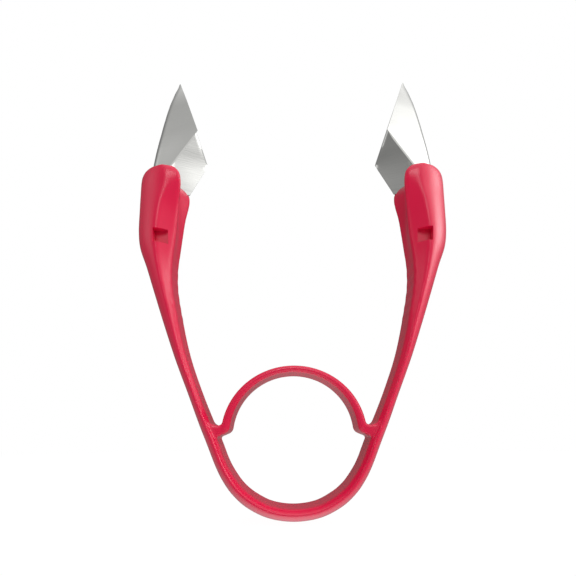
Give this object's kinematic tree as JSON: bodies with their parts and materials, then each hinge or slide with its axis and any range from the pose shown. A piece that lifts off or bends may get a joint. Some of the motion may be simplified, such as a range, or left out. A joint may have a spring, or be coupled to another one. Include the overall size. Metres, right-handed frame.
{
  "type": "sprung gouge-tipped pinching tool",
  "caption": "One-piece sprung plastic tweezers on a closed ring, each arm holding a pointed trough-shaped steel blade for gouging and trimming.",
  "frame": {"origin": "lowest point of the spring ring, at mid-width and mid-depth", "axes": "+X to the right, +Z from the ring towards the blade tips, the front faces -Y"},
  "size_m": [0.0988, 0.0194, 0.1409],
  "materials": {
    "red_plastic": "glossy moulded polypropylene, through-coloured red",
    "blade_steel": "polished stainless sheet with fine diagonal brush marks"
  },
  "bodies": {
    "spring_ring": {"spring_bow": "red_plastic", "spring_arch": "red_plastic"},
    "left_arm": {"left_handle": "red_plastic", "left_blade": "blade_steel"},
    "right_arm": {"right_handle": "red_plastic", "right_blade": "blade_steel"}
  },
  "joints": [
    {"name": "left_squeeze", "type": "hinge", "parent": "spring_ring", "child": "left_arm", "pos_m": [-0.016, 0, 0.0274], "axis": [0, 1, 0], "range_deg": [0, 17.5], "stiffness_Nm_per_rad": 2},
    {"name": "right_squeeze", "type": "hinge", "parent": "spring_ring", "child": "right_arm", "pos_m": [0.016, 0, 0.0274], "axis": [0, -1, 0], "range_deg": [0, 17.5], "stiffness_Nm_per_rad": 2}
  ]
}
